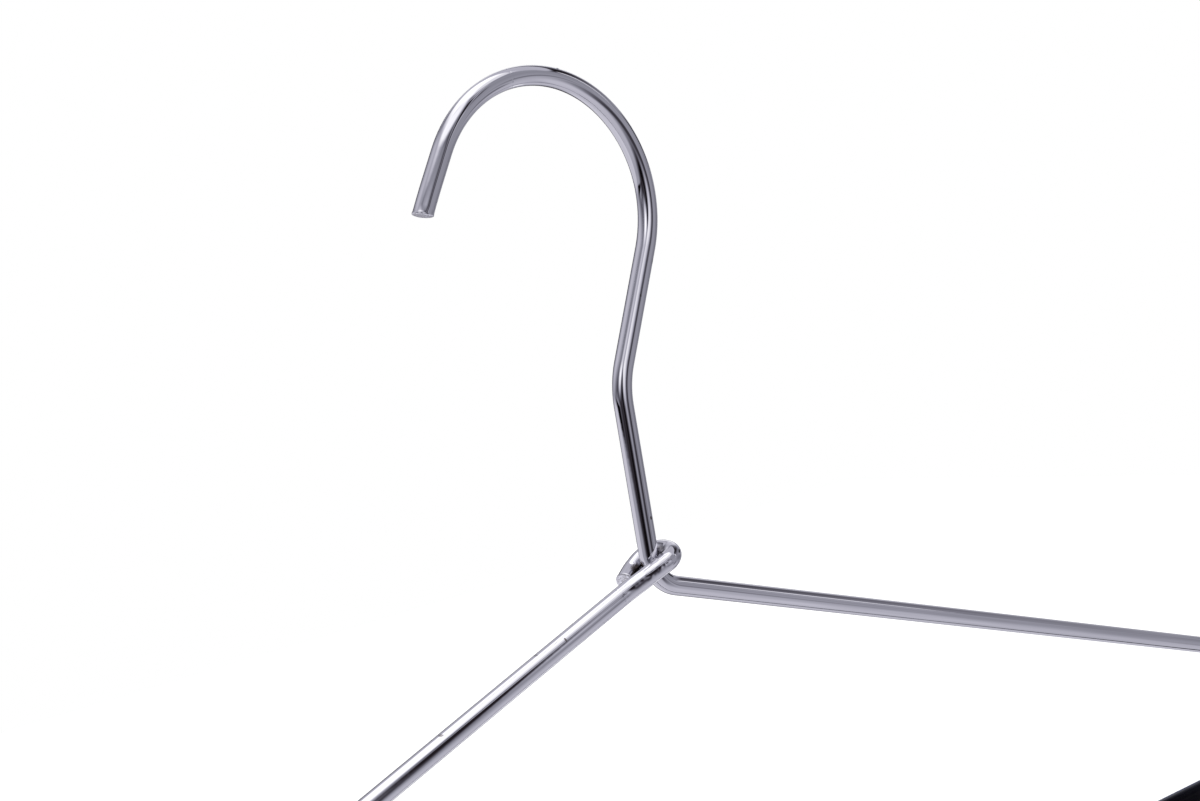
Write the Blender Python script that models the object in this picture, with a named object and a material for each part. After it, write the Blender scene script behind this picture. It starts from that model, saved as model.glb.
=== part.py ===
"""Chrome wire shirt hanger with a black tube sleeve on its bottom bar.

The hanger is one length of round wire, bent cold from end to end: hook tip, hook, neck,
right arm, right corner, bottom bar, left corner, left arm, and a closing wrap that goes
once round the neck and ends in a short cut tail. The sleeve is threaded on the bar before
the second corner is bent, so it is trapped there and turns freely on the wire.

Units are metres, +Z is up, +X is to the right of a person facing the front of the hanger,
and the front is towards -Y. The origin is the seat inside the top of the hook, where the
hanger rests on its rail.
"""

import math

import bmesh
import bpy
from mathutils import Vector

# Wire
WIRE_DIAMETER = 0.0040
WIRE_RADIUS = WIRE_DIAMETER / 2

# Hook and neck, in the plane of the hanger
HOOK_BORE_RADIUS = 0.0239
HOOK_CENTRE_HEIGHT = 0.0772
NECK_OFFSET = 0.0112
MOUTH_ANGLE = math.radians(148.3)
TIP_LENGTH = 0.0131
NECK_BEND_HEIGHT = 0.0405
NECK_BEND_RADIUS = 0.0195
FOOT_BEND_RADIUS = 0.0082

# Frame of arms and bar
OVERALL_WIDTH = 0.432
BAR_DROP = 0.0940
CORNER_RADIUS = 0.0130

# Closing wrap round the neck
WRAP_CLEARANCE = 0.0004
ARM_CROSSING_HEIGHT = 0.0046
ARM_SET_RUN = 0.0120
ARM_SET_RADIUS = 0.0600
WRAP_FRONT_HEIGHT = 0.0054
WRAP_CREST_HEIGHT = 0.0063
WRAP_BEND_SHARE = 0.96
TAIL_BACK_SLOPE = math.radians(31.0)
TAIL_BACK_RUN = 0.0012
TAIL_BEND_RADIUS = 0.0050
TAIL_LENGTH = 0.0044
TAIL_DROP_ANGLE = math.radians(22.0)
TAIL_CURL_ANGLE = math.radians(24.0)

# Sheared ends of the wire: a slight flare, then a rounded rim
SHEAR_FLARE_LENGTH = 0.00070
SHEAR_RIM_LENGTH = 0.00015
SHEAR_FLARE_SHARE = 1.03
SHEAR_RIM_SHARE = 0.93

# The hook tip's cut slants, with the wire longer on the hook's outer side
TIP_CUT_SLANT = math.radians(12.0)

# Sleeve on the bar
SLEEVE_BORE_CLEARANCE = 0.0004
SLEEVE_WALL = 0.0008
SLEEVE_END_GAP = 0.0010
SLEEVE_RIM_CHAMFER = 0.0002

# Fineness of the surfaces
WIRE_BEVEL_RESOLUTION = 8
BEND_STEP = math.radians(7.0)
TIGHT_BEND_STEP = math.radians(10.0)
TIGHT_BEND_RADIUS = 0.0100
LEAST_BEND_STEPS = 2
RING_SPACING = 0.0250
SHORTEST_RUN = 0.00005
SLEEVE_SIDES = 28
SHARP_ANGLE = math.radians(35.0)
WELD_DISTANCE = 0.000001

# Worked out from the sizes above
HOOK_RADIUS = HOOK_BORE_RADIUS + WIRE_RADIUS
WRAP_OFFSET = WIRE_DIAMETER + WRAP_CLEARANCE
WRAP_BEND_RADIUS = WRAP_OFFSET * WRAP_BEND_SHARE
HALF_SPAN = OVERALL_WIDTH / 2 - WIRE_RADIUS
HALF_STRAIGHT_BAR = HALF_SPAN - CORNER_RADIUS
SLEEVE_BORE_RADIUS = WIRE_RADIUS + SLEEVE_BORE_CLEARANCE
SLEEVE_OUTER_RADIUS = SLEEVE_BORE_RADIUS + SLEEVE_WALL
SLEEVE_HALF_LENGTH = HALF_STRAIGHT_BAR - SLEEVE_END_GAP

# The foot of the neck, where the right arm's centre line meets the neck's
FOOT = Vector((NECK_OFFSET, 0.0, -HOOK_BORE_RADIUS - HOOK_CENTRE_HEIGHT))


def clear_scene():
    """Start from an empty scene."""
    for old in list(bpy.data.objects):
        bpy.data.objects.remove(old, do_unlink=True)


def make_material(name, colour, metallic, roughness):
    """A plain Principled material."""
    material = bpy.data.materials.new(name)
    material.use_nodes = True
    shader = material.node_tree.nodes["Principled BSDF"]
    shader.inputs["Base Color"].default_value = (*colour, 1.0)
    shader.inputs["Metallic"].default_value = metallic
    shader.inputs["Roughness"].default_value = roughness
    return material


def chrome_plate():
    """Bright chrome on steel wire."""
    return make_material("bright_chrome", (0.78, 0.78, 0.80), 1.0, 0.07)


def black_vinyl():
    """Glossy black tube."""
    return make_material("black_vinyl", (0.012, 0.011, 0.013), 0.0, 0.22)


def tangent_angle(point, centre, radius):
    """Angle below the horizontal of the line from point that touches the far side of a circle.

    The circle lies to the right of the point and below it, and the line passes over it.
    """
    across = centre[0] - point[0]
    down = point[1] - centre[1]
    return math.atan2(down, across) - math.asin(radius / math.hypot(across, down))


def line_meets(point, direction, other, other_direction):
    """Point where two lines of the hanger's plane cross, as (x, z)."""
    cross = direction[0] * other_direction[1] - direction[1] * other_direction[0]
    gap = (other[0] - point[0], other[1] - point[1])
    along = (gap[0] * other_direction[1] - gap[1] * other_direction[0]) / cross
    return (point[0] + direction[0] * along, point[1] + direction[1] * along)


def in_plane(point):
    """A point of the hanger's own plane in three dimensions."""
    return Vector((point[0], 0.0, point[1]))


def hook_corners():
    """Tip end, and the two corners whose bends make the hook's one round arc."""
    centre = (-NECK_OFFSET, HOOK_CENTRE_HEIGHT)
    rise = HOOK_CENTRE_HEIGHT - NECK_BEND_HEIGHT
    reach = math.hypot(NECK_OFFSET, rise)
    lean = math.asin(HOOK_RADIUS / reach) - math.atan2(NECK_OFFSET, rise)
    middle = (MOUTH_ANGLE - lean) / 2

    def on_arc(angle):
        across = centre[0] + HOOK_RADIUS * math.cos(angle)
        return (across, centre[1] + HOOK_RADIUS * math.sin(angle))

    def along_arc(angle):
        return (-math.sin(angle), math.cos(angle))

    start = on_arc(MOUTH_ANGLE)
    start_way = along_arc(MOUTH_ANGLE)
    tip = (start[0] + start_way[0] * TIP_LENGTH, start[1] + start_way[1] * TIP_LENGTH)
    top = (on_arc(middle), along_arc(middle))
    first = line_meets(start, start_way, *top)
    second = line_meets(*top, on_arc(-lean), along_arc(-lean))
    return in_plane(tip), in_plane(first), in_plane(second)


def frame_corners():
    """Sharp corners of the frame, right then left, where the arms' lines meet the bar's."""
    corner_centre = (HALF_STRAIGHT_BAR, CORNER_RADIUS - BAR_DROP)
    right_slope = tangent_angle((0.0, 0.0), corner_centre, CORNER_RADIUS)
    left_slope = tangent_angle((0.0, ARM_CROSSING_HEIGHT), corner_centre, CORNER_RADIUS)
    right_reach = BAR_DROP / math.tan(right_slope)
    left_reach = (BAR_DROP + ARM_CROSSING_HEIGHT) / math.tan(left_slope)
    right = in_plane((right_reach, -BAR_DROP))
    left = in_plane((-left_reach, -BAR_DROP))
    return right, left


def wrap_corners(left_corner):
    """Corners of the wrap: in front of the neck, round its right side, behind it, tail end."""
    crossing = Vector((0.0, -WRAP_OFFSET, ARM_CROSSING_HEIGHT))
    set_bend = crossing + (left_corner - crossing).normalized() * ARM_SET_RUN
    front = Vector((WRAP_OFFSET, -WRAP_OFFSET, WRAP_FRONT_HEIGHT))
    back = Vector((WRAP_OFFSET, WRAP_OFFSET, WRAP_CREST_HEIGHT))
    back_run = WRAP_OFFSET + TAIL_BACK_RUN
    curl = back + Vector((-back_run, 0.0, -back_run * math.tan(TAIL_BACK_SLOPE)))
    level = math.cos(TAIL_DROP_ANGLE)
    heading = Vector((
        -level * math.cos(TAIL_CURL_ANGLE),
        -level * math.sin(TAIL_CURL_ANGLE),
        -math.sin(TAIL_DROP_ANGLE),
    ))
    return set_bend, front, back, curl, curl + heading * TAIL_LENGTH


def wire_corners():
    """The wire as a bender reads it: sharp corners in order, each with its bend radius."""
    tip, hook_first, hook_second = hook_corners()
    right, left = frame_corners()
    set_bend, front, back, curl, tail = wrap_corners(left)
    return [
        (tip, None),
        (hook_first, HOOK_RADIUS),
        (hook_second, HOOK_RADIUS),
        (in_plane((0.0, NECK_BEND_HEIGHT)), NECK_BEND_RADIUS),
        (in_plane((0.0, 0.0)), FOOT_BEND_RADIUS),
        (right, CORNER_RADIUS),
        (left, CORNER_RADIUS),
        (set_bend, ARM_SET_RADIUS),
        (front, WRAP_BEND_RADIUS),
        (back, WRAP_BEND_RADIUS),
        (curl, TAIL_BEND_RADIUS),
        (tail, None),
    ]


def bend_points(before, corner, after, radius):
    """Points of the round bend at one corner, from the end of one run to the start of the next."""
    arriving = (corner - before).normalized()
    leaving = (after - corner).normalized()
    turn = arriving.angle(leaving)
    start = corner - arriving * (radius * math.tan(turn / 2))
    inward = (leaving - arriving * arriving.dot(leaving)).normalized()
    centre = start + inward * radius
    step = TIGHT_BEND_STEP if radius < TIGHT_BEND_RADIUS else BEND_STEP
    count = max(LEAST_BEND_STEPS, math.ceil(turn / step))
    points = []
    for index in range(count + 1):
        angle = turn * index / count
        points.append(centre + (arriving * math.sin(angle) - inward * math.cos(angle)) * radius)
    return points


def run_points(start, end):
    """Evenly spaced points inside a straight run."""
    count = math.ceil((end - start).length / RING_SPACING)
    return [start.lerp(end, index / count) for index in range(1, count)]


def centre_line(corners):
    """Centre line of the whole wire: straight runs joined by round bends."""
    bends = [[corners[0][0]]]
    for before, (corner, radius), after in zip(corners, corners[1:], corners[2:]):
        bends.append(bend_points(before[0], corner, after[0], radius))
    bends.append([corners[-1][0]])
    line = list(bends[0])
    for bend in bends[1:]:
        run = bend[0] - line[-1]
        if run.length > SHORTEST_RUN:
            line += run_points(line[-1], bend[0])
            line += bend
        else:
            line += bend[1:]
    return line


def sheared_ends(line):
    """The centre line with a radius share for each point, and the rims of both cut ends."""
    def rim(end, inner):
        inwards = (inner - end).normalized()
        return [
            (end, SHEAR_RIM_SHARE),
            (end + inwards * SHEAR_RIM_LENGTH, SHEAR_FLARE_SHARE),
            (end + inwards * SHEAR_FLARE_LENGTH, 1.0),
        ]

    first = rim(line[0], line[1])
    last = rim(line[-1], line[-2])
    return first + [(point, 1.0) for point in line[1:-1]] + last[::-1]


def least_gap_round_neck(line):
    """Least distance between the wire's surface in the wrap and in the neck or its foot."""
    reach = WRAP_OFFSET + WIRE_DIAMETER
    near = [index for index, point in enumerate(line) if point.length < reach + WRAP_OFFSET]
    split = max(range(1, len(near)), key=lambda place: near[place] - near[place - 1])
    first = [line[index] for index in near[:split]]
    second = [line[index] for index in near[split:]]

    def segment_distance(point, start, end):
        run = end - start
        share = max(0.0, min(1.0, (point - start).dot(run) / run.length_squared))
        return (point - start.lerp(end, share)).length

    distances = []
    for one, other in ((first, second), (second, first)):
        for start, end in zip(one, one[1:]):
            distances += [segment_distance(point, start, end) for point in other]
    return min(distances) - WIRE_DIAMETER


def swept_wire(ringed):
    """The wire's skin as a mesh: a round section carried along the centre line, ends closed."""
    curve = bpy.data.curves.new("wire_path", "CURVE")
    curve.dimensions = "3D"
    curve.twist_mode = "MINIMUM"
    curve.bevel_depth = WIRE_RADIUS
    curve.bevel_resolution = WIRE_BEVEL_RESOLUTION
    curve.use_fill_caps = True
    spline = curve.splines.new("POLY")
    spline.points.add(len(ringed) - 1)
    for knot, (point, share) in zip(spline.points, ringed):
        knot.co = (*point, 1.0)
        knot.radius = share
    path = bpy.data.objects.new("wire_path", curve)
    bpy.context.collection.objects.link(path)
    graph = bpy.context.evaluated_depsgraph_get()
    mesh = bpy.data.meshes.new_from_object(path.evaluated_get(graph))
    bpy.data.objects.remove(path)
    bpy.data.curves.remove(curve)
    return mesh


def slant_tip(shape, line):
    """Slant the cut of the hook tip by sliding its rings along the wire."""
    inwards = (line[1] - line[0]).normalized()
    outer = Vector((-inwards.z, 0.0, inwards.x))
    for corner in shape.verts:
        away = corner.co - line[0]
        if away.length < WIRE_DIAMETER:
            corner.co -= inwards * (away.dot(outer) * math.tan(TIP_CUT_SLANT))


def make_wire():
    """The one bent wire."""
    line = centre_line(wire_corners())
    print("least gap of the wrap to the neck, in metres:", round(least_gap_round_neck(line), 5))
    mesh = swept_wire(sheared_ends(line))
    shape = bmesh.new()
    shape.from_mesh(mesh)
    bmesh.ops.remove_doubles(shape, verts=shape.verts, dist=WELD_DISTANCE)
    slant_tip(shape, line)
    bmesh.ops.recalc_face_normals(shape, faces=shape.faces)
    shape.to_mesh(mesh)
    shape.free()
    mesh.name = "hanger_wire"
    mesh.shade_smooth()
    mesh.set_sharp_from_angle(angle=SHARP_ANGLE)
    mesh.materials.append(chrome_plate())
    wire = bpy.data.objects.new("hanger_wire", mesh)
    wire.location = FOOT
    bpy.context.collection.objects.link(wire)
    return wire


def sleeve_profile():
    """Outline of the tube's wall at one side of the bar, as (along, out) places in order."""
    end = SLEEVE_HALF_LENGTH
    chamfered = SLEEVE_HALF_LENGTH - SLEEVE_RIM_CHAMFER
    count = math.ceil(2 * chamfered / RING_SPACING)
    stations = [chamfered - 2 * chamfered * index / count for index in range(count + 1)]
    outer = [(place, SLEEVE_OUTER_RADIUS) for place in stations]
    left_end = [(-end, SLEEVE_OUTER_RADIUS - SLEEVE_RIM_CHAMFER), (-end, SLEEVE_BORE_RADIUS)]
    bore = [(-place, SLEEVE_BORE_RADIUS) for place in stations[1:-1]]
    right_end = [(end, SLEEVE_BORE_RADIUS), (end, SLEEVE_OUTER_RADIUS - SLEEVE_RIM_CHAMFER)]
    return outer + left_end + bore + right_end


def make_sleeve():
    """The black tube, turned about the bar's centre line."""
    shape = bmesh.new()
    outline = [shape.verts.new((along, 0.0, out)) for along, out in sleeve_profile()]
    edges = [shape.edges.new(pair) for pair in zip(outline, outline[1:] + outline[:1])]
    bmesh.ops.spin(
        shape,
        geom=outline + edges,
        cent=(0.0, 0.0, 0.0),
        axis=(1.0, 0.0, 0.0),
        angle=2 * math.pi,
        steps=SLEEVE_SIDES,
        use_merge=True,
    )
    bmesh.ops.recalc_face_normals(shape, faces=shape.faces)
    mesh = bpy.data.meshes.new("bar_sleeve")
    shape.to_mesh(mesh)
    shape.free()
    mesh.shade_smooth()
    mesh.set_sharp_from_angle(angle=SHARP_ANGLE)
    sleeve = bpy.data.objects.new("bar_sleeve", mesh)
    sleeve.location = FOOT + in_plane((0.0, -BAR_DROP))
    mesh.materials.append(black_vinyl())
    bpy.context.collection.objects.link(sleeve)
    return sleeve


def main():
    """Build the hanger."""
    clear_scene()
    make_wire()
    make_sleeve()


main()
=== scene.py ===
"""Chrome wire shirt hanger with a black tube on its bar: finished surfaces, studio and camera."""

import math

import bmesh
import bpy
from mathutils import Matrix, Vector


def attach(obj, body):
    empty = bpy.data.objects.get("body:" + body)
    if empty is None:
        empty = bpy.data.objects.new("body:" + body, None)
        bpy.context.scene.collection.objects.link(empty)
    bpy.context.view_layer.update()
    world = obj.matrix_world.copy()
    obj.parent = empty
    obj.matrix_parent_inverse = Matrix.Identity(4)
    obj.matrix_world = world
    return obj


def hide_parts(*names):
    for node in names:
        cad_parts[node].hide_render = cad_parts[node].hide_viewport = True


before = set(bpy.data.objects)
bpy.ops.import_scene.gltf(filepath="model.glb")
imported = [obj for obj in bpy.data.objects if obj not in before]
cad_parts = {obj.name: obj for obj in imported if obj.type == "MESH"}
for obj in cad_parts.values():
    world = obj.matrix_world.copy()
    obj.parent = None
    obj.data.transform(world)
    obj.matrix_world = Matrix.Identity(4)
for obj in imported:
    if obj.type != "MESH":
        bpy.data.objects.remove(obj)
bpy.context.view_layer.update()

# Wire, in metres
WIRE_DIAMETER = 0.0040
WIRE_RADIUS = WIRE_DIAMETER / 2

# Hook and neck, in the plane of the hanger
HOOK_BORE_RADIUS = 0.0239
HOOK_CENTRE_HEIGHT = 0.0772
NECK_OFFSET = 0.0112
MOUTH_ANGLE = math.radians(148.3)
TIP_LENGTH = 0.0131
NECK_BEND_HEIGHT = 0.0405
NECK_BEND_RADIUS = 0.0195
FOOT_BEND_RADIUS = 0.0082

# Frame of arms and bar
OVERALL_WIDTH = 0.432
BAR_DROP = 0.0940
CORNER_RADIUS = 0.0130

# Closing wrap round the neck. Most of its sizes are rounded from a program's
# fit to its outline in the photograph.
WRAP_CLEARANCE = 0.0004
ARM_CROSSING_HEIGHT = 0.0046
ARM_SET_RUN = 0.0120
ARM_SET_RADIUS = 0.0600
WRAP_FRONT_HEIGHT = 0.0054
WRAP_CREST_HEIGHT = 0.0063
WRAP_BEND_SHARE = 0.96
TAIL_BACK_SLOPE = math.radians(31.0)
TAIL_BACK_RUN = 0.0012
TAIL_BEND_RADIUS = 0.0050
TAIL_LENGTH = 0.0044
TAIL_DROP_ANGLE = math.radians(22.0)
TAIL_CURL_ANGLE = math.radians(24.0)

# Worked out from the sizes above
HOOK_RADIUS = HOOK_BORE_RADIUS + WIRE_RADIUS
WRAP_OFFSET = WIRE_DIAMETER + WRAP_CLEARANCE
WRAP_BEND_RADIUS = WRAP_OFFSET * WRAP_BEND_SHARE
HALF_SPAN = OVERALL_WIDTH / 2 - WIRE_RADIUS
HALF_STRAIGHT_BAR = HALF_SPAN - CORNER_RADIUS

# The foot of the neck, where the right arm's centre line meets the neck's
FOOT = Vector((NECK_OFFSET, 0.0, -HOOK_BORE_RADIUS - HOOK_CENTRE_HEIGHT))

# Fineness of the wire's skin
WIRE_BEVEL_RESOLUTION = 22
BEND_STEP = math.radians(2.5)
LEAST_BEND_STEPS = 6
RUN_STEP = 0.0100
SHORTEST_RUN = 0.00005
WIRE_SHARP_ANGLE = math.radians(40.0)

# Sheared ends: distance from the end and share of the wire's radius
SHEARED_RINGS = [
    (0.00000, 0.950),
    (0.00006, 0.992),
    (0.00014, 1.014),
    (0.00026, 1.020),
    (0.00045, 1.012),
    (0.00080, 1.000),
]

# Cut faces, from the rim inwards: how far in each ring lies and how far it rises
CUT_FACE_RINGS = [(0.00012, 0.00003), (0.00040, 0.00002), (0.00060, -0.00001)]

# The hook tip's cut slants, with the wire longer on the hook's outer side
TIP_CUT_SLANT = math.radians(12.0)

# The shear leaves a burr on the hook tip's outer side, rolls the other side in
# and bows the last few millimetres inwards
BURR_SIDE = Vector((-0.85, 0.10, 0.52))
BURR_LENGTH = 0.0009
BURR_HEIGHT = 0.00007
ROLL_LENGTH = 0.0007
ROLL_DEPTH = 0.00008
TIP_BOW_LENGTH = 0.0064
TIP_BOW_DEPTH = 0.00015
TIP_BOW_RINGS = [0.0016, 0.0028, 0.0042, 0.0056]

# A drop of plating left on the outside of the hook. Its place was read off
# the photograph, and a program turned it into the hanger's frame.
DROP_PLACE = Vector((0.00797, -0.00096, 0.00258))
DROP_OUTWARDS = Vector((0.25, -0.48, 0.84))
DROP_HALF_LENGTH = 0.00034
DROP_HALF_WIDTH = 0.00018
DROP_HALF_HEIGHT = 0.00010
DROP_SUBDIVISIONS = 3

# The bar's sleeve. Its rim's profile is in shares of the rim, back from the
# tube's end and in from its outer face.
SLEEVE_BORE_CLEARANCE = 0.0004
SLEEVE_WALL = 0.0008
SLEEVE_END_GAP = 0.0010
SLEEVE_RIM = 0.00020
SLEEVE_RIM_PROFILE = [(1.0, 0.0), (0.4, 0.15), (0.12, 0.45), (0.0, 1.0)]
SLEEVE_SIDES = 64
SLEEVE_RINGS = 40
SLEEVE_SHARP_ANGLE = math.radians(50.0)
SLEEVE_BORE_RADIUS = WIRE_RADIUS + SLEEVE_BORE_CLEARANCE
SLEEVE_OUTER_RADIUS = SLEEVE_BORE_RADIUS + SLEEVE_WALL
SLEEVE_HALF_LENGTH = HALF_STRAIGHT_BAR - SLEEVE_END_GAP
BAR_MIDDLE = FOOT - Vector((0.0, 0.0, BAR_DROP))


# Places of the colour sockets in a Mix node
MIX_FIRST_COLOUR = 6
MIX_SECOND_COLOUR = 7
MIX_RESULT_COLOUR = 2


class Board:
    """A node tree with short ways to place and join nodes."""

    def __init__(self, tree):
        self.tree = tree

    def add(self, kind, label=None, **settings):
        node = self.tree.nodes.new(kind)
        if label:
            node.label = label
        for key, value in settings.items():
            setattr(node, key, value)
        return node

    def set(self, socket, value):
        if isinstance(value, bpy.types.NodeSocket):
            self.tree.links.new(value, socket)
        else:
            socket.default_value = value

    def math(self, operation, first, second=None, third=None):
        node = self.add("ShaderNodeMath", operation=operation)
        for socket, value in zip(node.inputs, (first, second, third)):
            if value is not None:
                self.set(socket, value)
        return node.outputs[0]

    def total(self, *values):
        """Sum of several values."""
        result = values[0]
        for value in values[1:]:
            result = self.math("ADD", result, value)
        return result

    def scaled(self, value, factor):
        return self.math("MULTIPLY", value, factor)

    def vector(self, operation, first, second=None, scale=None):
        node = self.add("ShaderNodeVectorMath", operation=operation)
        self.set(node.inputs[0], first)
        if second is not None:
            self.set(node.inputs[1], second)
        if scale is not None:
            self.set(node.inputs["Scale"], scale)
        single = operation in ("LENGTH", "DISTANCE", "DOT_PRODUCT")
        return node.outputs["Value" if single else "Vector"]

    def ramp(self, value, low, high, out_low=0.0, out_high=1.0, smooth=True):
        node = self.add("ShaderNodeMapRange")
        node.interpolation_type = "SMOOTHSTEP" if smooth else "LINEAR"
        for name, given in (
            ("Value", value), ("From Min", low), ("From Max", high),
            ("To Min", out_low), ("To Max", out_high),
        ):
            self.set(node.inputs[name], given)
        return node.outputs["Result"]

    def stops(self, value, places, label=None):
        """A colour that follows a value through stops of (value, colour)."""
        node = self.add("ShaderNodeValToRGB", label)
        self.set(node.inputs[0], value)
        elements = node.color_ramp.elements
        while len(elements) < len(places):
            elements.new(1.0)
        for element, (position, colour) in zip(elements, places):
            element.position = position
            element.color = (*colour, 1.0)
        return node.outputs["Color"]

    def mix(self, factor, first, second):
        node = self.add("ShaderNodeMix", data_type="RGBA", clamp_factor=True)
        self.set(node.inputs["Factor"], factor)
        self.set(node.inputs[MIX_FIRST_COLOUR], first)
        self.set(node.inputs[MIX_SECOND_COLOUR], second)
        return node.outputs[MIX_RESULT_COLOUR]

    def noise(self, where, scale, detail, roughness):
        node = self.add("ShaderNodeTexNoise")
        self.set(node.inputs["Vector"], where)
        node.inputs["Scale"].default_value = scale
        node.inputs["Detail"].default_value = detail
        node.inputs["Roughness"].default_value = roughness
        return node.outputs["Fac"]

    def bump(self, height):
        """A normal from a height in metres."""
        node = self.add("ShaderNodeBump")
        node.inputs["Strength"].default_value = 1.0
        node.inputs["Distance"].default_value = 1.0
        self.set(node.inputs["Height"], height)
        return node.outputs["Normal"]

    def group(self, tree, label=None, **given):
        node = self.add("ShaderNodeGroup", label)
        node.node_tree = tree
        for name, value in given.items():
            self.set(node.inputs[name.replace("_", " ")], value)
        return node


def new_group(name, inputs, outputs):
    """An empty shader node group with its sockets, and its board, input and output nodes."""
    tree = bpy.data.node_groups.new(name, "ShaderNodeTree")
    for label, kind, value in inputs:
        socket = tree.interface.new_socket(name=label, in_out="INPUT", socket_type=kind)
        if value is not None:
            socket.default_value = value
    for label, kind in outputs:
        tree.interface.new_socket(name=label, in_out="OUTPUT", socket_type=kind)
    board = Board(tree)
    return tree, board, board.add("NodeGroupInput"), board.add("NodeGroupOutput")


def new_material(name):
    """A material with its board and its Principled shader."""
    material = bpy.data.materials.new(name)
    material.use_nodes = True
    board = Board(material.node_tree)
    return material, board, material.node_tree.nodes["Principled BSDF"]


# Fine lines left by drawing, on each material's own scale: how close the
# broad ones lie, as a share of the fine ones
BROAD_LINE_SHARE = 0.45

# Marks of handling: smears per metre, the noise levels between which a smear
# fades in, and dents per metre of the slow unevenness
SMEARS_PER_METRE = 90.0
SMEAR_FADE = (0.45, 0.75)
DENTS_PER_METRE = 700.0

# Ragged spots: notches per metre of their edge, and the shares of their half
# size between which they fade out
NOTCHES_PER_METRE = 5000.0
NOTCH_MIDDLE = 0.5
SPOT_FADE = (0.7, 1.2)


def drawn_lines_group():
    """Fine lines left lengthwise by the drawing die, on a place whose X runs along the piece."""
    tree, board, given, result = new_group(
        "drawn lines",
        [
            ("Place", "NodeSocketVector", None),
            ("Lines per Metre", "NodeSocketFloat", 5000.0),
            ("Length Share", "NodeSocketFloat", 0.006),
        ],
        [("Fine", "NodeSocketFloat"), ("Broad", "NodeSocketFloat")],
    )
    stretch = board.add("ShaderNodeCombineXYZ")
    board.set(stretch.inputs["X"], given.outputs["Length Share"])
    stretch.inputs["Y"].default_value = 1.0
    stretch.inputs["Z"].default_value = 1.0
    drawn = board.vector("MULTIPLY", given.outputs["Place"], stretch.outputs[0])
    fine = board.vector("SCALE", drawn, scale=given.outputs["Lines per Metre"])
    broad = board.vector("SCALE", fine, scale=BROAD_LINE_SHARE)
    board.set(
        result.inputs["Fine"], board.noise(fine, scale=1.0, detail=3.0, roughness=0.6)
    )
    board.set(
        result.inputs["Broad"], board.noise(broad, scale=1.0, detail=2.0, roughness=0.5)
    )
    return tree


def handling_group():
    """Where the surface is a little duller from handling, and a slow unevenness of its face."""
    tree, board, given, result = new_group(
        "handling",
        [("Place", "NodeSocketVector", None)],
        [("Dull", "NodeSocketFloat"), ("Uneven", "NodeSocketFloat")],
    )
    place = given.outputs["Place"]
    smears = board.noise(place, SMEARS_PER_METRE, detail=4.0, roughness=0.6)
    board.set(result.inputs["Dull"], board.ramp(smears, *SMEAR_FADE))
    uneven = board.noise(place, DENTS_PER_METRE, detail=1.0, roughness=0.4)
    board.set(result.inputs["Uneven"], uneven)
    return tree


def ragged_spot_group():
    """An oval spot with a ragged edge: 1 inside it, 0 outside."""
    tree, board, given, result = new_group(
        "ragged spot",
        [
            ("Place", "NodeSocketVector", None),
            ("Centre", "NodeSocketVector", (0.0, 0.0, 0.0)),
            ("Half Size", "NodeSocketVector", (1.0, 1.0, 1.0)),
            ("Raggedness", "NodeSocketFloat", 0.5),
        ],
        [("Mask", "NodeSocketFloat")],
    )
    away = board.vector("SUBTRACT", given.outputs["Place"], given.outputs["Centre"])
    shares = board.vector("DIVIDE", away, given.outputs["Half Size"])
    spread = board.vector("LENGTH", shares)
    notches = board.noise(
        given.outputs["Place"], NOTCHES_PER_METRE, detail=3.0, roughness=0.6
    )
    edge = board.math("SUBTRACT", notches, NOTCH_MIDDLE)
    ragged = board.math("MULTIPLY_ADD", edge, given.outputs["Raggedness"], spread)
    board.set(result.inputs["Mask"], board.ramp(ragged, *SPOT_FADE, 1.0, 0.0))
    return tree


def spots(board, ragged_spot, place, rows):
    """The strongest of several ragged spots.

    Each row is a name, a centre, half sizes, raggedness and depth.
    """
    strongest = None
    for name, centre, half_size, raggedness, depth in rows:
        spot = board.group(
            ragged_spot,
            name,
            Place=place,
            Centre=centre,
            Half_Size=half_size,
            Raggedness=raggedness,
        )
        mask = board.scaled(spot.outputs["Mask"], depth)
        strongest = mask if strongest is None else board.math("MAXIMUM", strongest, mask)
    return strongest


# Painted shade, brown, in the crevices between the wires of the wrap, and small
# pits in the plating: centre in the hanger's frame, half size, raggedness and
# depth. A program turned the pits' places, read off the photograph, into this frame.
CREVICE_SHADE_AND_PITS = [
    ("crevice right of the neck", (0.0136, -0.0008, -0.0948), (0.0007, 0.0011, 0.0012), 1.6, 0.50),
    ("crevice left of the neck", (0.0093, 0.0015, -0.0975), (0.0016, 0.0016, 0.0014), 1.6, 0.90),
    ("pit in the hook's shoulder", (0.0156, -0.0009, -0.0062), (0.0004, 0.0010, 0.0003), 1.4, 0.40),
    ("pit above the neck bend", (0.0233, -0.0017, -0.0378), (0.0002, 0.0006, 0.0005), 0.8, 0.90),
    ("pit near the neck bend", (0.0186, -0.0019, -0.0440), (0.0002, 0.0004, 0.0003), 0.8, 0.80),
    ("pit above the wrap", (0.0118, -0.0019, -0.0879), (0.0003, 0.0006, 0.0004), 0.8, 0.95),
    ("pit on the left arm", (-0.0474, -0.0040, -0.1154), (0.0005, 0.0006, 0.0002), 0.8, 0.60),
    ("nick on the left arm", (-0.0233, -0.0039, -0.1067), (0.0004, 0.0006, 0.0002), 0.8, 0.50),
    ("pit near the wrap", (-0.0169, -0.0055, -0.1052), (0.0002, 0.0005, 0.0005), 0.8, 0.80),
]
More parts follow.
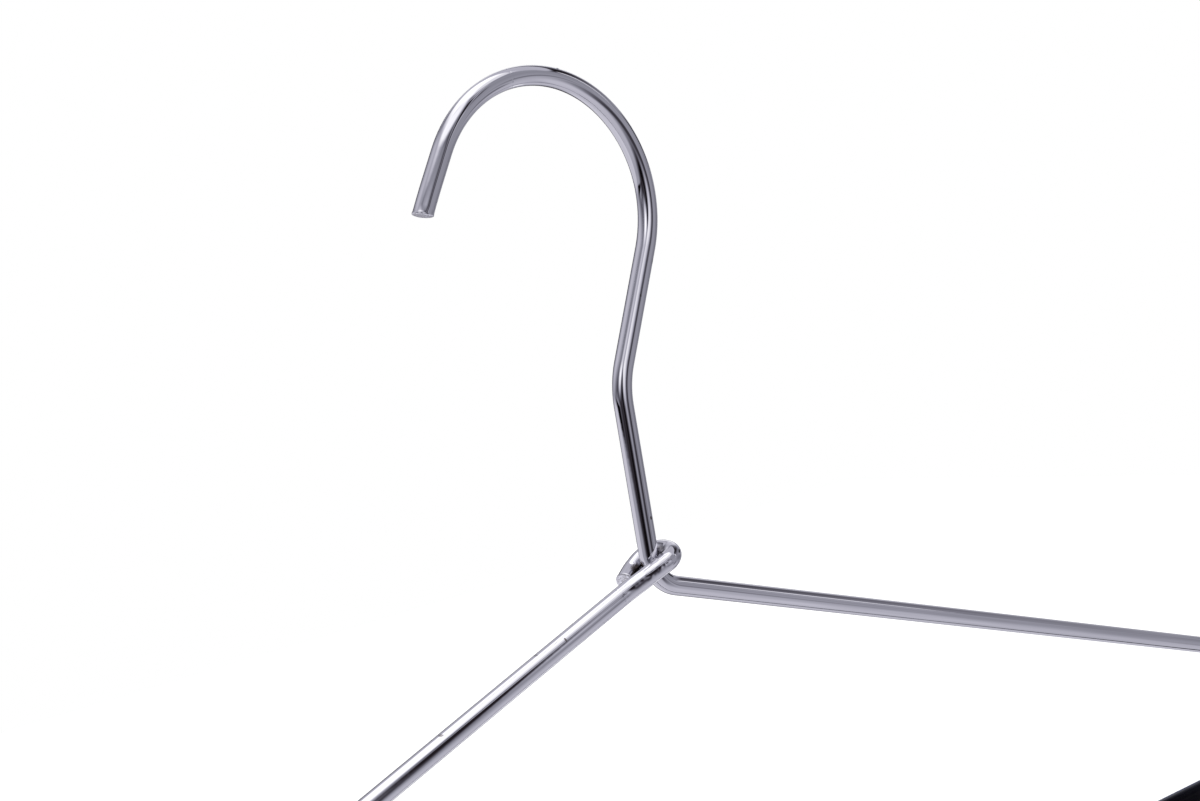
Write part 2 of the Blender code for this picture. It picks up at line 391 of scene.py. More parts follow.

# The left arm just before the wrap, in metres from the hook tip: a lean of its
# face, waves along it and a fine ring, perhaps from the grip of a bending
# tool. Lean and waves were set so that the reflections turn as in the
# photograph. They are bump only, 0.9 mm and at most 0.17 mm high: the mesh is
# straight and round there. The hook has such a ring as well.
GRIP_START = 1.0555
GRIP_END = 1.0700
GRIP_LEAN = 0.00090
WAVES_START = 1.0560
WAVES_END = 1.0780
WAVES_FADE = 0.0060
WAVES_PER_METRE = 360.0
WAVE_HEIGHT = 0.000170
GRIP_RING = 1.0550
HOOK_RING = 0.0355
RING_HALF_WIDTH = 0.0004
RING_DEPTH = 0.000008

# Chrome plate: its drawing lines, its roughness and what each mark adds to it,
# the height of each mark, and its colours. The pale and the grey lie round the
# wire's mean colour in the photograph, which a program measured.
CHROME_LINES_PER_METRE = 4200.0
CHROME_LENGTH_SHARE = 0.014
CHROME_LINE_FADE = (0.45, 0.75)
CHROME_ROUGHNESS = (0.006, 0.026)
CHROME_SMEAR_ROUGHNESS = 0.015
SHADE_AND_PIT_ROUGHNESS = 0.30
CHROME_FINE_HEIGHT = 0.0000012
CHROME_BROAD_HEIGHT = 0.0000030
CHROME_UNEVEN_HEIGHT = 0.0000028
STREAK_FADE = (0.35, 0.65)
CHROME_PALE = (0.627, 0.621, 0.668, 1.0)
CHROME_GREY = (0.573, 0.567, 0.611, 1.0)
# Brown of the painted shade in the wrap's crevices, and of the pits
SHADE_AND_PIT_BROWN = (0.060, 0.038, 0.026, 1.0)

# Bare steel of the two cut faces, torn in places by the shear
CUT_ROUGHNESS = 0.45
GRITS_PER_METRE = 6000.0
GRIT_HEIGHT = 0.000012
TEARS_PER_METRE = 2600.0
TEAR_FADE = (0.38, 0.62)
TORN_STEEL = (0.54, 0.53, 0.55, 1.0)
SHORN_STEEL = (0.92, 0.92, 0.98, 1.0)


def fine_ring(board, along, place):
    """A fine ring round the wire at a place along it: 1 in its middle."""
    away = board.math("ABSOLUTE", board.math("SUBTRACT", along, place))
    return board.ramp(away, 0.0, RING_HALF_WIDTH, 1.0, 0.0)


def chrome_plate(drawn_lines, handling, ragged_spot):
    """Bright chrome on drawn steel wire."""
    material, board, shader = new_material("chrome plate")
    uv = board.add("ShaderNodeUVMap", uv_map="wire length").outputs["UV"]
    apart = board.add("ShaderNodeSeparateXYZ")
    board.set(apart.inputs[0], uv)
    angle = board.scaled(apart.outputs["X"], 2 * math.pi)
    laid = board.add("ShaderNodeCombineXYZ", "place on the wire laid straight")
    board.set(laid.inputs["X"], apart.outputs["Y"])
    board.set(laid.inputs["Y"], board.scaled(board.math("COSINE", angle), WIRE_RADIUS))
    board.set(laid.inputs["Z"], board.scaled(board.math("SINE", angle), WIRE_RADIUS))
    lines = board.group(
        drawn_lines,
        Place=laid.outputs[0],
        Lines_per_Metre=CHROME_LINES_PER_METRE,
        Length_Share=CHROME_LENGTH_SHARE,
    )
    place = board.add("ShaderNodeTexCoord").outputs["Object"]
    hand = board.group(handling, Place=place)
    cut = board.add("ShaderNodeAttribute", attribute_name="cut_face").outputs["Fac"]
    # The two crevice spots are painted shade between the wires; the others are pits and a nick in
    # the plating
    shade_and_pits = spots(board, ragged_spot, place, CREVICE_SHADE_AND_PITS)

    rough = board.total(
        board.ramp(lines.outputs["Fine"], *CHROME_LINE_FADE, *CHROME_ROUGHNESS),
        board.scaled(hand.outputs["Dull"], CHROME_SMEAR_ROUGHNESS),
        board.scaled(cut, CUT_ROUGHNESS),
        board.scaled(shade_and_pits, SHADE_AND_PIT_ROUGHNESS),
    )
    board.set(shader.inputs["Roughness"], rough)

    along = apart.outputs["Y"]
    grit = board.scaled(board.noise(place, GRITS_PER_METRE, detail=2.0, roughness=0.6), cut)
    lean = board.ramp(along, GRIP_START, GRIP_END)
    waving = board.math(
        "MULTIPLY",
        board.ramp(along, WAVES_START, WAVES_START + WAVES_FADE),
        board.ramp(along, WAVES_END - WAVES_FADE, WAVES_END, 1.0, 0.0),
    )
    swell = board.noise(place, WAVES_PER_METRE, detail=1.0, roughness=0.4)
    waves = board.math("MULTIPLY", swell, waving)
    rings = board.total(*(fine_ring(board, along, ring) for ring in (HOOK_RING, GRIP_RING)))
    relief = board.total(
        board.scaled(lines.outputs["Fine"], CHROME_FINE_HEIGHT),
        board.scaled(lines.outputs["Broad"], CHROME_BROAD_HEIGHT),
        board.scaled(hand.outputs["Uneven"], CHROME_UNEVEN_HEIGHT),
        board.scaled(grit, GRIT_HEIGHT),
        board.scaled(lean, GRIP_LEAN),
        board.scaled(waves, WAVE_HEIGHT),
        board.scaled(rings, -RING_DEPTH),
    )
    board.set(shader.inputs["Normal"], board.bump(relief))

    shader.inputs["Metallic"].default_value = 1.0
    streak = board.ramp(lines.outputs["Broad"], *STREAK_FADE)
    colour = board.mix(streak, CHROME_PALE, CHROME_GREY)
    # Painted shade in the crevices, and the pits, turn the colour brown
    colour = board.mix(shade_and_pits, colour, SHADE_AND_PIT_BROWN)
    tears = board.noise(place, TEARS_PER_METRE, detail=3.0, roughness=0.6)
    bare_steel = board.mix(board.ramp(tears, *TEAR_FADE), TORN_STEEL, SHORN_STEEL)
    colour = board.mix(cut, colour, bare_steel)
    board.set(shader.inputs["Base Color"], colour)
    return material


# Black vinyl: its drawing lines, its roughness and what smears add to it, the
# height of each mark, its colours and its gloss
VINYL_LINES_PER_METRE = 2600.0
VINYL_LENGTH_SHARE = 0.006
VINYL_LINE_FADE = (0.4, 0.8)
VINYL_ROUGHNESS = (0.16, 0.22)
VINYL_SMEAR_ROUGHNESS = 0.10
VINYL_BROAD_HEIGHT = 0.000006
VINYL_UNEVEN_HEIGHT = 0.000009
VINYL_BLACK = (0.0010, 0.0007, 0.0017, 1.0)
VINYL_HANDLED = (0.0032, 0.0028, 0.0046, 1.0)
VINYL_SPECULAR = 0.05
VINYL_SHEEN = 0.60
VINYL_SHEEN_ROUGHNESS = 0.25
VINYL_SHEEN_TINT = (0.20, 0.35, 1.0, 1.0)


def black_vinyl(drawn_lines, handling):
    """Glossy black extruded tube."""
    material, board, shader = new_material("black vinyl tube")
    place = board.add("ShaderNodeTexCoord").outputs["Object"]
    centre = board.add("ShaderNodeMapping", "bar's centre line", vector_type="POINT")
    centre.inputs["Location"].default_value = -BAR_MIDDLE
    board.set(centre.inputs["Vector"], place)
    lines = board.group(
        drawn_lines,
        Place=centre.outputs[0],
        Lines_per_Metre=VINYL_LINES_PER_METRE,
        Length_Share=VINYL_LENGTH_SHARE,
    )
    hand = board.group(handling, Place=place)
    rough = board.total(
        board.ramp(lines.outputs["Fine"], *VINYL_LINE_FADE, *VINYL_ROUGHNESS),
        board.scaled(hand.outputs["Dull"], VINYL_SMEAR_ROUGHNESS),
    )
    board.set(shader.inputs["Roughness"], rough)
    relief = board.total(
        board.scaled(lines.outputs["Broad"], VINYL_BROAD_HEIGHT),
        board.scaled(hand.outputs["Uneven"], VINYL_UNEVEN_HEIGHT),
    )
    board.set(shader.inputs["Normal"], board.bump(relief))
    colour = board.mix(hand.outputs["Dull"], VINYL_BLACK, VINYL_HANDLED)
    board.set(shader.inputs["Base Color"], colour)
    shader.inputs["Specular IOR Level"].default_value = VINYL_SPECULAR
    shader.inputs["Sheen Weight"].default_value = VINYL_SHEEN
    shader.inputs["Sheen Roughness"].default_value = VINYL_SHEEN_ROUGHNESS
    shader.inputs["Sheen Tint"].default_value = VINYL_SHEEN_TINT
    return material


def tangent_angle(point, centre, radius):
    """Angle below the horizontal of the line from point that touches the far side of a circle.

    The circle lies to the right of the point and below it, and the line passes over it.
    """
    across = centre[0] - point[0]
    down = point[1] - centre[1]
    return math.atan2(down, across) - math.asin(radius / math.hypot(across, down))


def line_meets(point, direction, other, other_direction):
    """Point where two lines of the hanger's plane cross, as (x, z)."""
    cross = direction[0] * other_direction[1] - direction[1] * other_direction[0]
    gap = (other[0] - point[0], other[1] - point[1])
    along = (gap[0] * other_direction[1] - gap[1] * other_direction[0]) / cross
    return (point[0] + direction[0] * along, point[1] + direction[1] * along)


def in_plane(point):
    """A point of the hanger's own plane in three dimensions."""
    return Vector((point[0], 0.0, point[1]))


def hook_corners():
    """Tip end, and the two corners whose bends make the hook's one round arc."""
    centre = (-NECK_OFFSET, HOOK_CENTRE_HEIGHT)
    rise = HOOK_CENTRE_HEIGHT - NECK_BEND_HEIGHT
    reach = math.hypot(NECK_OFFSET, rise)
    lean = math.asin(HOOK_RADIUS / reach) - math.atan2(NECK_OFFSET, rise)
    middle = (MOUTH_ANGLE - lean) / 2

    def on_arc(angle):
        across = centre[0] + HOOK_RADIUS * math.cos(angle)
        return (across, centre[1] + HOOK_RADIUS * math.sin(angle))

    def along_arc(angle):
        return (-math.sin(angle), math.cos(angle))

    start = on_arc(MOUTH_ANGLE)
    start_way = along_arc(MOUTH_ANGLE)
    tip = (start[0] + start_way[0] * TIP_LENGTH, start[1] + start_way[1] * TIP_LENGTH)
    top = (on_arc(middle), along_arc(middle))
    first = line_meets(start, start_way, *top)
    second = line_meets(*top, on_arc(-lean), along_arc(-lean))
    return in_plane(tip), in_plane(first), in_plane(second)


def frame_corners():
    """Sharp corners of the frame, right then left, where the arms' lines meet the bar's."""
    corner_centre = (HALF_STRAIGHT_BAR, CORNER_RADIUS - BAR_DROP)
    right_slope = tangent_angle((0.0, 0.0), corner_centre, CORNER_RADIUS)
    left_slope = tangent_angle((0.0, ARM_CROSSING_HEIGHT), corner_centre, CORNER_RADIUS)
    right_reach = BAR_DROP / math.tan(right_slope)
    left_reach = (BAR_DROP + ARM_CROSSING_HEIGHT) / math.tan(left_slope)
    right = in_plane((right_reach, -BAR_DROP))
    left = in_plane((-left_reach, -BAR_DROP))
    return right, left


def wrap_corners(left_corner):
    """Corners of the wrap: in front of the neck, round its right side, behind it, tail end."""
    crossing = Vector((0.0, -WRAP_OFFSET, ARM_CROSSING_HEIGHT))
    set_bend = crossing + (left_corner - crossing).normalized() * ARM_SET_RUN
    front = Vector((WRAP_OFFSET, -WRAP_OFFSET, WRAP_FRONT_HEIGHT))
    back = Vector((WRAP_OFFSET, WRAP_OFFSET, WRAP_CREST_HEIGHT))
    back_run = WRAP_OFFSET + TAIL_BACK_RUN
    curl = back + Vector((-back_run, 0.0, -back_run * math.tan(TAIL_BACK_SLOPE)))
    level = math.cos(TAIL_DROP_ANGLE)
    heading = Vector((
        -level * math.cos(TAIL_CURL_ANGLE),
        -level * math.sin(TAIL_CURL_ANGLE),
        -math.sin(TAIL_DROP_ANGLE),
    ))
    return set_bend, front, back, curl, curl + heading * TAIL_LENGTH


def wire_corners():
    """The wire as a bender reads it: sharp corners in order, each with its bend radius."""
    tip, hook_first, hook_second = hook_corners()
    right, left = frame_corners()
    set_bend, front, back, curl, tail = wrap_corners(left)
    return [
        (tip, None),
        (hook_first, HOOK_RADIUS),
        (hook_second, HOOK_RADIUS),
        (in_plane((0.0, NECK_BEND_HEIGHT)), NECK_BEND_RADIUS),
        (in_plane((0.0, 0.0)), FOOT_BEND_RADIUS),
        (right, CORNER_RADIUS),
        (left, CORNER_RADIUS),
        (set_bend, ARM_SET_RADIUS),
        (front, WRAP_BEND_RADIUS),
        (back, WRAP_BEND_RADIUS),
        (curl, TAIL_BEND_RADIUS),
        (tail, None),
    ]


def bend_points(before, corner, after, radius):
    """Points of the round bend at one corner, from the end of one run to the start of the next."""
    arriving = (corner - before).normalized()
    leaving = (after - corner).normalized()
    turn = arriving.angle(leaving)
    start = corner - arriving * (radius * math.tan(turn / 2))
    inward = (leaving - arriving * arriving.dot(leaving)).normalized()
    centre = start + inward * radius
    count = max(LEAST_BEND_STEPS, math.ceil(turn / BEND_STEP))
    points = []
    for index in range(count + 1):
        angle = turn * index / count
        points.append(centre + (arriving * math.sin(angle) - inward * math.cos(angle)) * radius)
    return points


def run_points(start, end):
    """Evenly spaced points inside a straight run."""
    count = math.ceil((end - start).length / RUN_STEP)
    return [start.lerp(end, index / count) for index in range(1, count)]


def centre_line(corners):
    """Centre line of the whole wire: straight runs joined by round bends."""
    bends = [[corners[0][0]]]
    for before, (corner, radius), after in zip(corners, corners[1:], corners[2:]):
        bends.append(bend_points(before[0], corner, after[0], radius))
    bends.append([corners[-1][0]])
    line = list(bends[0])
    for bend in bends[1:]:
        if (bend[0] - line[-1]).length > SHORTEST_RUN:
            line += run_points(line[-1], bend[0])
            line += bend
        else:
            line += bend[1:]
    return [FOOT + point for point in line]


def sheared_rings(line):
    """Centre line points with a share of the wire's radius, closer together at both cut ends."""
    def end_rings(end, inner, plain_rings):
        inwards = (inner - end).normalized()
        rings = SHEARED_RINGS + [(depth, 1.0) for depth in plain_rings]
        return [(end + inwards * depth, share) for depth, share in rings]

    first = end_rings(line[0], line[1], TIP_BOW_RINGS)
    last = end_rings(line[-1], line[-2], [])
    inner = [
        (point, 1.0) for point in line[1:-1]
        if (point - line[0]).length > TIP_BOW_RINGS[-1]
        and (point - line[-1]).length > SHEARED_RINGS[-1][0]
    ]
    return first + inner + last[::-1]


def swept_wire(rings):
    """The wire's skin as a mesh, swept along its centre line with open ends."""
    curve = bpy.data.curves.new("wire path", "CURVE")
    curve.dimensions = "3D"
    curve.twist_mode = "MINIMUM"
    curve.bevel_depth = WIRE_RADIUS
    curve.bevel_resolution = WIRE_BEVEL_RESOLUTION
    spline = curve.splines.new("POLY")
    spline.points.add(len(rings) - 1)
    spline.use_smooth = True
    for knot, (point, share) in zip(spline.points, rings):
        knot.co = (*point, 1.0)
        knot.radius = share
    path = bpy.data.objects.new("wire path", curve)
    bpy.context.collection.objects.link(path)
    graph = bpy.context.evaluated_depsgraph_get()
    mesh = bpy.data.meshes.new_from_object(path.evaluated_get(graph))
    bpy.data.objects.remove(path)
    return mesh


def lay_wire_map(mesh, rings):
    """Make the mesh's map read round the wire in X and metres along it in Y."""
    lengths = [0.0]
    for (first, _), (second, _) in zip(rings, rings[1:]):
        lengths.append(lengths[-1] + (second - first).length)
    layer = mesh.uv_layers[0]
    layer.name = "wire length"
    for corner in layer.data:
        ring = round(corner.uv[0] * (len(rings) - 1))
        corner.uv = (corner.uv[1], lengths[ring])


def shear_tip(shape, line):
    """Slant the hook tip's cut, bow it inwards, push its burr out and roll its other side in."""
    end = line[0]
    inwards = (line[1] - line[0]).normalized()
    outer = Vector((-inwards.z, 0.0, inwards.x))
    across = (BURR_SIDE - inwards * BURR_SIDE.dot(inwards)).normalized()
    for corner in shape.verts:
        away = corner.co - end
        depth = abs(away.dot(inwards))
        if away.length > TIP_BOW_LENGTH + WIRE_RADIUS:
            continue
        bow = max(0.0, 1.0 - depth / TIP_BOW_LENGTH)
        corner.co -= outer * (TIP_BOW_DEPTH * bow * bow)
        if depth > BURR_LENGTH:
            continue
        out = away - inwards * away.dot(inwards)
        corner.co -= inwards * (out.dot(outer) * math.tan(TIP_CUT_SLANT))
        side = out.dot(across) / WIRE_RADIUS
        if side > 0.0:
            near = max(0.0, 1.0 - depth / BURR_LENGTH)
            corner.co += across * (BURR_HEIGHT * near * near * side ** 3)
        else:
            near = max(0.0, 1.0 - depth / ROLL_LENGTH)
            corner.co += inwards * (ROLL_DEPTH * near * near * side * side)


def close_cut_ends(shape):
    """Close both ends with sheared faces, marked so that the finish there is coarser."""
    cut = shape.faces.layers.float.new("cut_face")
    rims = [edge for edge in shape.edges if edge.is_boundary]
    caps = bmesh.ops.holes_fill(shape, edges=rims, sides=0)["faces"]
    for cap in caps:
        cap[cut] = 1.0
    for thickness, depth in CUT_FACE_RINGS:
        made = bmesh.ops.inset_region(
            shape, faces=caps, thickness=thickness, depth=depth, use_even_offset=True
        )
        for face in made["faces"]:
            face[cut] = 1.0
    bmesh.ops.poke(shape, faces=caps)


def plating_drop(shape):
    """The small drop of plating on the hook, sunk half way into the wire."""
    made = bmesh.ops.create_icosphere(shape, subdivisions=DROP_SUBDIVISIONS, radius=1.0)
    along = Vector((0.0, 1.0, 0.0)).cross(DROP_OUTWARDS).normalized()
    out = DROP_OUTWARDS.normalized()
    across = out.cross(along)
    turned = Matrix((along, across, out)).transposed().to_4x4()
    size = Matrix.Diagonal((DROP_HALF_LENGTH, DROP_HALF_WIDTH, DROP_HALF_HEIGHT, 1.0))
    bmesh.ops.transform(
        shape, matrix=Matrix.Translation(DROP_PLACE) @ turned @ size, verts=made["verts"]
    )


def finish_piece(name, mesh, material, sharp_angle):
    """An object of the finished mesh, at the origin, with its one material."""
    mesh.name = name
    mesh.materials.clear()
    mesh.materials.append(material)
    mesh.shade_smooth()
    mesh.set_sharp_from_angle(angle=sharp_angle)
    piece = bpy.data.objects.new(name, mesh)
    bpy.context.collection.objects.link(piece)
    return piece


def chrome_wire(material):
    """The one bent wire."""
    line = centre_line(wire_corners())
    rings = sheared_rings(line)
    mesh = swept_wire(rings)
    lay_wire_map(mesh, rings)
    shape = bmesh.new()
    shape.from_mesh(mesh)
    shear_tip(shape, line)
    close_cut_ends(shape)
    plating_drop(shape)
    bmesh.ops.recalc_face_normals(shape, faces=shape.faces)
    shape.to_mesh(mesh)
    shape.free()
    wire = finish_piece("chrome_wire", mesh, material, WIRE_SHARP_ANGLE)
    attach(wire, "wire")
    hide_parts("hanger_wire")


def sleeve_outline():
    """Outline of the tube's wall, as (along, out) places in order round it."""
    end = SLEEVE_HALF_LENGTH
    outer = [
        (end - SLEEVE_RIM * back, SLEEVE_OUTER_RADIUS - SLEEVE_RIM * down)
        for back, down in SLEEVE_RIM_PROFILE
    ]
    bore = [
        (end, SLEEVE_BORE_RADIUS + SLEEVE_RIM / 2),
        (end - SLEEVE_RIM / 2, SLEEVE_BORE_RADIUS),
    ]
    right = outer + bore
    left = [(-along, out) for along, out in reversed(right)]
    return right + left


def vinyl_sleeve(material):
    """The black tube, turned about the bar's centre line."""
    shape = bmesh.new()
    outline = [
        shape.verts.new(BAR_MIDDLE + Vector((along, 0.0, out))) for along, out in sleeve_outline()
    ]
    edges = [shape.edges.new(pair) for pair in zip(outline, outline[1:] + outline[:1])]
    long_edges = [edge for edge in edges if edge.calc_length() > SLEEVE_HALF_LENGTH]
    bmesh.ops.subdivide_edges(shape, edges=long_edges, cuts=SLEEVE_RINGS - 1)
    bmesh.ops.spin(
        shape,
        geom=shape.verts[:] + shape.edges[:],
        cent=BAR_MIDDLE,
        axis=(1.0, 0.0, 0.0),
        angle=2 * math.pi,
        steps=SLEEVE_SIDES,
        use_merge=True,
    )
    bmesh.ops.recalc_face_normals(shape, faces=shape.faces)
    mesh = bpy.data.meshes.new("vinyl_sleeve")
    shape.to_mesh(mesh)
    shape.free()
    sleeve = finish_piece("vinyl_sleeve", mesh, material, SLEEVE_SHARP_ANGLE)
    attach(sleeve, "sleeve")
    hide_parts("bar_sleeve")


# Brightness of the room by height, in degrees above the horizon. A program
# fitted and rounded the first nine levels together with ROOM_SHAPES. The last
# three were changed after the fit.
ROOM_LEVELS = [
    (-90, 0.85), (-50, 0.75), (-30, 0.65), (-15, 0.50), (-5, 0.55), (5, 0.90),
    (15, 3.20), (30, 1.10), (45, 0.05), (60, 1.90), (75, 1.85), (90, 2.00),
]

# Soft-edged ovals of light and dark that the chrome mirrors, from the farthest
# to the nearest: direction in degrees from the back of the room towards the
# right, height in degrees, half width and half height as shares of its
# distance, turn in degrees, softness of its edge, brightness. A program fitted
# these numbers to the brightness of the wire and the sleeve in the photograph
# and rounded them, but for five rows: the white backdrop and the last two were
# given one by one, and the lamp beside the camera and the pale front panel were
# changed after the fit. The names only tell the ovals apart.
ROOM_SHAPES = [
    ("white backdrop", 38, -5, 0.30, 0.30, 0, 0.5, 1.00),
    ("dark side behind the camera", -118, 14, 0.92, 0.44, 34, 0.3, 0.002),
    ("dark front wall", 170, -4, 0.30, 0.98, -22, 0.5, 0.06),
    ("dark gap on the left", -44, 28, 1.18, 0.54, -12, 0.3, 0.10),
    ("dark edge of the table", -23, 4, 1.00, 0.08, 7, 0.1, 0.002),
    ("dark gap on the right", 98, 24, 0.50, 0.76, -64, 0.6, 0.002),
    ("grey panel on the right", 76, 8, 0.22, 0.70, -74, 1.0, 0.50),
    ("lamp beside the camera", -119, 23, 0.26, 0.17, -38, 1.0, 1.75),
    ("dark stand", 162, 26, 0.07, 0.46, -10, 0.6, 0.02),
    ("pale front panel", -165, 12, 0.26, 0.22, 48, 1.0, 1.22),
    ("pale screen on the left", -42, 32, 0.34, 0.74, 42, 1.0, 0.85),
    ("pale screen behind", 76, 56, 0.86, 0.18, -6, 0.1, 0.70),
    ("grey front panel", 140, 14, 0.24, 0.70, -4, 0.3, 0.40),
    ("pale table behind", -30, -36, 0.58, 0.68, 80, 0.1, 0.90),
    ("white ceiling panel", -148, 58, 0.22, 0.48, -66, 0.4, 1.60),
    ("small lamp on the right", 116, 24, 0.06, 0.15, -1, 0.1, 1.05),
    ("small pale card", 158, 43, 0.11, 0.06, -17, 0.3, 0.75),
    ("pale table on the right", 144, -72, 0.34, 0.76, 2, 0.5, 0.80),
    ("gleam on the table", 69, -42, 0.04, 0.08, -64, 0.3, 1.95),
    ("white ceiling card", 142, 58, 0.16, 0.22, -88, 0.4, 1.20),
    ("dark cloth on the table", 120, -22, 0.12, 0.14, 26, 0.4, 0.25),
    ("dark slot in the panel", 82, 10, 0.22, 0.10, 16, 0.2, 0.002),
    ("dark foot of the stand", 153, 22, 0.04, 0.11, 3, 0.7, 0.08),
    ("dark box in front", 142, -9, 0.11, 0.07, 43, 0.9, 0.25),
    ("dark door edge by the camera", -141, 4, 0.15, 0.28, 0, 0.3, 0.01),
    ("dark doorway behind", 30, -12, 0.26, 0.46, 0, 0.5, 0.06),
]

# Tint of the room by its brightness: the darks are brownish, the mid greys
# lilac and the lamps white. Chosen from the wire's mean colours in the
# photograph, which a program measured in bands of brightness.
ROOM_TINTS = [
    (0.00, (1.19, 0.93, 1.13)),
    (0.08, (1.02, 0.97, 1.16)),
    (0.35, (0.99, 0.99, 1.12)),
    (0.80, (1.00, 0.99, 1.08)),
    (1.30, (1.00, 1.00, 1.00)),
]
TINT_SPAN = 2.0


def soft_shape_group():
    """A soft-edged oval on the sky: 1 inside it, 0 outside."""
    tree, board, given, result = new_group(
        "soft shape",
        [
            ("Direction", "NodeSocketVector", None),
            ("Turn", "NodeSocketVector", None),
            ("Half Size", "NodeSocketVector", (1.0, 1.0, 1.0)),
            ("Softness", "NodeSocketFloat", 0.5),
        ],
        [("Mask", "NodeSocketFloat")],
    )
    local = board.add("ShaderNodeMapping", vector_type="TEXTURE")
    board.set(local.inputs["Vector"], given.outputs["Direction"])
    board.set(local.inputs["Rotation"], given.outputs["Turn"])
    board.set(local.inputs["Scale"], given.outputs["Half Size"])
    apart = board.add("ShaderNodeSeparateXYZ")
    board.set(apart.inputs[0], local.outputs[0])
    flat = board.add("ShaderNodeCombineXYZ")
    board.set(flat.inputs["X"], apart.outputs["X"])
    board.set(flat.inputs["Y"], apart.outputs["Y"])
    spread = board.vector("LENGTH", flat.outputs[0])
    inner = board.math("SUBTRACT", 1.0, given.outputs["Softness"])
    outer = board.math("ADD", 1.0, given.outputs["Softness"])
    oval = board.ramp(spread, inner, outer, 1.0, 0.0)
    front = board.math("LESS_THAN", apart.outputs["Z"], 0.0)
    board.set(result.inputs["Mask"], board.scaled(oval, front))
    return tree


def shape_turn(azimuth, height, turn):
    """Turn that brings a shape's own axes to its place on the sky."""
    across, up, tilt = math.radians(azimuth), math.radians(height), math.radians(turn)
    ahead = Vector((
        math.sin(across) * math.cos(up), math.cos(across) * math.cos(up), math.sin(up)
    ))
    side = Vector((math.cos(across), -math.sin(across), 0.0))
    above = side.cross(ahead)
    first = side * math.cos(tilt) + above * math.sin(tilt)
    second = above * math.cos(tilt) - side * math.sin(tilt)
    third = first.cross(second)
    return Matrix((first, second, third)).transposed().to_euler("XYZ")


def room_brightness(board, direction):
    """Brightness of the room in a direction: its levels by height, and its shapes over them."""
    apart = board.add("ShaderNodeSeparateXYZ")
    board.set(apart.inputs[0], direction)
    height = board.math("ARCSINE", apart.outputs["Z"])
    share = board.ramp(height, -math.pi / 2, math.pi / 2, smooth=False)
    brightness = board.stops(
        share,
        [((degrees + 90) / 180, [level] * 3) for degrees, level in ROOM_LEVELS],
        "brightness by height",
    )
    soft_shape = soft_shape_group()
    for name, azimuth, height, half_width, half_height, turn, softness, level in ROOM_SHAPES:
        shape = board.group(
            soft_shape,
            name,
            Direction=direction,
            Turn=shape_turn(azimuth, height, turn),
            Half_Size=(half_width, half_height, 1.0),
            Softness=softness,
        )
        brightness = board.mix(shape.outputs["Mask"], brightness, (level, level, level, 1.0))
    return brightness


def studio_room():
    """White surroundings for the camera; for the object, the fitted light and dark of a room.

    Is Glossy Ray isn't added, so the chrome mirrors that room and not the white.
    """
    world = bpy.data.worlds.new("studio")
    bpy.context.scene.world = world
    world.use_nodes = True
    world.node_tree.nodes.clear()
    board = Board(world.node_tree)
    direction = board.add("ShaderNodeTexCoord").outputs["Generated"]
    brightness = room_brightness(board, direction)
    tint = board.stops(
        board.math("DIVIDE", brightness, TINT_SPAN),
        [(level / TINT_SPAN, colour) for level, colour in ROOM_TINTS],
        "tint by brightness",
    )
    room = board.add("ShaderNodeBackground")
    board.set(room.inputs["Color"], board.vector("MULTIPLY", brightness, tint))
    white = board.add("ShaderNodeBackground")
    white.inputs["Color"].default_value = (1.0, 1.0, 1.0, 1.0)
    paths = board.add("ShaderNodeLightPath")
    seen = board.add("ShaderNodeMixShader")
    straight = board.math(
        "MAXIMUM", paths.outputs["Is Camera Ray"], paths.outputs["Is Transmission Ray"]
    )
    board.set(seen.inputs[0], straight)
    board.set(seen.inputs[1], room.outputs[0])
    board.set(seen.inputs[2], white.outputs[0])
    board.set(board.add("ShaderNodeOutputWorld").inputs["Surface"], seen.outputs[0])


# The floor, whose glow makes it white to the camera
FLOOR_HEIGHT = -1.70
FLOOR_HALF_WIDTH = 8.0
FLOOR_GREY = (0.30, 0.30, 0.30, 1.0)
FLOOR_ROUGHNESS = 0.9
FLOOR_GLOW = 0.95


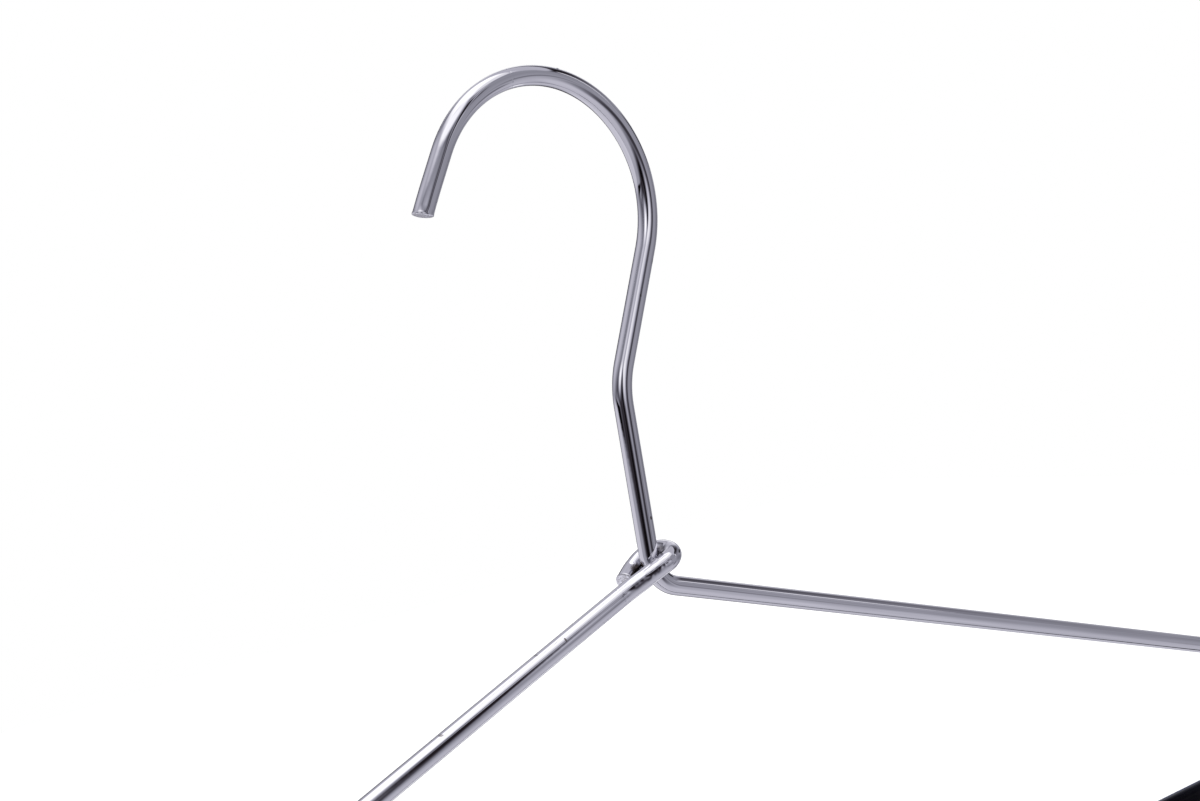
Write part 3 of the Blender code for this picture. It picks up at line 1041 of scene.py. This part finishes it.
def pale_floor():
    """Plain white floor, as far below the hook as under a clothes rail.

    It is hidden from glossy rays, so the chrome doesn't mirror it.
    """
    shape = bmesh.new()
    bmesh.ops.create_grid(shape, x_segments=1, y_segments=1, size=FLOOR_HALF_WIDTH)
    bmesh.ops.translate(shape, verts=shape.verts, vec=(0.0, 0.0, FLOOR_HEIGHT))
    mesh = bpy.data.meshes.new("floor")
    shape.to_mesh(mesh)
    shape.free()
    material, board, shader = new_material("pale floor")
    shader.inputs["Base Color"].default_value = FLOOR_GREY
    shader.inputs["Roughness"].default_value = FLOOR_ROUGHNESS
    shader.inputs["Specular IOR Level"].default_value = 0.0
    glow = board.add("ShaderNodeEmission")
    glow.inputs["Strength"].default_value = FLOOR_GLOW
    both = board.add("ShaderNodeAddShader")
    board.set(both.inputs[0], shader.outputs[0])
    board.set(both.inputs[1], glow.outputs[0])
    paths = board.add("ShaderNodeLightPath")
    seen = board.add("ShaderNodeMixShader")
    board.set(seen.inputs[0], paths.outputs["Is Camera Ray"])
    board.set(seen.inputs[1], shader.outputs[0])
    board.set(seen.inputs[2], both.outputs[0])
    output = material.node_tree.nodes["Material Output"]
    board.set(output.inputs["Surface"], seen.outputs[0])
    mesh.materials.append(material)
    floor = bpy.data.objects.new("floor", mesh)
    bpy.context.collection.objects.link(floor)
    floor.visible_glossy = False


# The photograph's camera: place, the way it looks as an angle from the back
# towards the right, tilt and roll, and lens and frame width in millimetres. A
# program solved all but the frame width from lines traced in the photograph.
CAMERA_PLACE = Vector((-0.25825, -0.33130, -0.02590))
CAMERA_AZIMUTH = math.radians(38.518)
CAMERA_ELEVATION = math.radians(-4.981)
CAMERA_ROLL = math.radians(9.574)
CAMERA_LENS = 64.661
CAMERA_FRAME_WIDTH = 36.0
CAMERA_NEAREST = 0.01
CAMERA_FARTHEST = 50.0


def photo_camera():
    """The camera where the photograph's stood, rolled as it was."""
    data = bpy.data.cameras.new("camera")
    data.sensor_width = CAMERA_FRAME_WIDTH
    data.lens = CAMERA_LENS
    data.clip_start = CAMERA_NEAREST
    data.clip_end = CAMERA_FARTHEST
    camera = bpy.data.objects.new("camera", data)
    bpy.context.collection.objects.link(camera)
    ahead = Vector((
        math.sin(CAMERA_AZIMUTH) * math.cos(CAMERA_ELEVATION),
        math.cos(CAMERA_AZIMUTH) * math.cos(CAMERA_ELEVATION),
        math.sin(CAMERA_ELEVATION),
    ))
    level = ahead.to_track_quat("-Z", "Y").to_matrix().to_4x4()
    camera.matrix_world = (
        Matrix.Translation(CAMERA_PLACE) @ level @ Matrix.Rotation(-CAMERA_ROLL, 4, "Z")
    )
    bpy.context.scene.camera = camera


def main():
    """Dress the hanger, light it and set up the camera."""
    bpy.context.scene.view_settings.view_transform = "Standard"
    drawn_lines = drawn_lines_group()
    handling = handling_group()
    chrome_wire(chrome_plate(drawn_lines, handling, ragged_spot_group()))
    vinyl_sleeve(black_vinyl(drawn_lines, handling))
    studio_room()
    pale_floor()
    photo_camera()


main()
